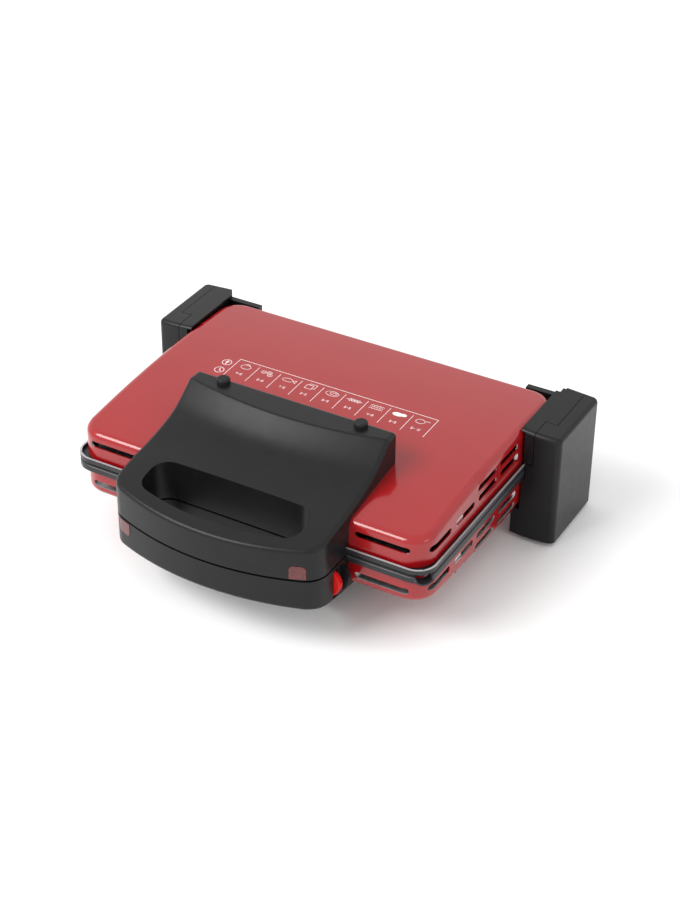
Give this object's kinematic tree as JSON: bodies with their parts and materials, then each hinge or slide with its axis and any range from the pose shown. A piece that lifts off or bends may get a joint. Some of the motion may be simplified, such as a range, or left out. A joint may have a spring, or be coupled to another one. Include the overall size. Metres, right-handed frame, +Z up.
{
  "type": "contact grill",
  "caption": "Contact grill: an upper heated plate hinged on rear legs over a like lower one, each with a swept handle half, thermostat wheel and pilot lamp; the lid rises and opens flat.",
  "frame": {"origin": "middle of the object's box in plan, on the counter", "axes": "+X across the width, towards the side with the lower thermostat wheel; +Y from the handle to the rear legs; +Z up"},
  "size_m": [0.3886, 0.3142, 0.139],
  "materials": {
    "red_enamel": "gloss",
    "coated_aluminium": "satin",
    "aluminium_bare": "satin",
    "element_sheath": "satin",
    "bright_sheet": "satin",
    "steel": "satin",
    "black_plastic": "satin",
    "lens_plastic": "gloss",
    "lamp_glass": "gloss",
    "ceramic_white": "matt",
    "red_plastic": "gloss",
    "wire_sleeve": "matt",
    "grey_rubber": "matt",
    "brass_bush": "satin",
    "acetal": "matt"
  },
  "bodies": {
    "base": {"lead_inlet": "black_plastic", "left_leg_cover": "black_plastic", "left_leg_housing": "black_plastic", "leg_pads": "grey_rubber", "leg_screws": "steel", "lower_casing": "red_enamel", "lower_cover_screws": "steel", "lower_element_clamps": "aluminium_bare", "lower_element_pins": "steel", "lower_grill_plate": "coated_aluminium", "lower_handle_cover": "black_plastic", "lower_handle_feet": "grey_rubber", "lower_handle_screws": "steel", "lower_handle_shell": "black_plastic", "lower_heating_element": "element_sheath", "lower_lamp_lens": "lens_plastic", "lower_neon_lamp": "lamp_glass", "lower_plate_screws": "steel", "lower_reflector": "bright_sheet", "lower_support_bars": "bright_sheet", "lower_thermostat": "ceramic_white", "lower_wiring": "wire_sleeve", "right_leg_cover": "black_plastic", "right_leg_housing": "black_plastic", "terminal_block": "ceramic_white"},
    "hinge_carriages": {"left_hinge_carriage": "acetal", "left_hinge_pin": "steel", "right_hinge_carriage": "acetal", "right_hinge_pin": "steel"},
    "lid": {"arm_screws": "steel", "left_hinge_arm": "black_plastic", "left_hinge_bush": "brass_bush", "right_hinge_arm": "black_plastic", "right_hinge_bush": "brass_bush", "upper_casing": "red_enamel", "upper_cover_screws": "steel", "upper_element_clamps": "aluminium_bare", "upper_element_pins": "steel", "upper_grill_plate": "coated_aluminium", "upper_handle_cover": "black_plastic", "upper_handle_feet": "grey_rubber", "upper_handle_screws": "steel", "upper_handle_shell": "black_plastic", "upper_heating_element": "element_sheath", "upper_lamp_lens": "lens_plastic", "upper_neon_lamp": "lamp_glass", "upper_plate_screws": "steel", "upper_reflector": "bright_sheet", "upper_support_bars": "bright_sheet", "upper_thermostat": "ceramic_white", "upper_wiring": "wire_sleeve"},
    "lower_wheel": {"lower_thermostat_shaft": "steel", "lower_thermostat_wheel": "red_plastic"},
    "upper_wheel": {"upper_thermostat_shaft": "steel", "upper_thermostat_wheel": "red_plastic"}
  },
  "joints": [
    {"name": "carriage_rise", "type": "slide", "parent": "base", "child": "hinge_carriages", "axis": [0, 0, 1], "range_m": [0, 0.018]},
    {"name": "lid_hinge", "type": "hinge", "parent": "hinge_carriages", "child": "lid", "pos_m": [0, 0.15, 0.0695], "axis": [-1, 0, 0], "range_deg": [0, 180]},
    {"name": "lower_wheel_turn", "type": "hinge", "parent": "base", "child": "lower_wheel", "pos_m": [0.088, -0.1115, 0.0525], "axis": [0, 1, 0], "range_deg": [0, 270]},
    {"name": "upper_wheel_turn", "type": "hinge", "parent": "lid", "child": "upper_wheel", "pos_m": [-0.088, -0.1115, 0.0865], "axis": [0, 1, 0], "range_deg": [0, 270]}
  ]
}
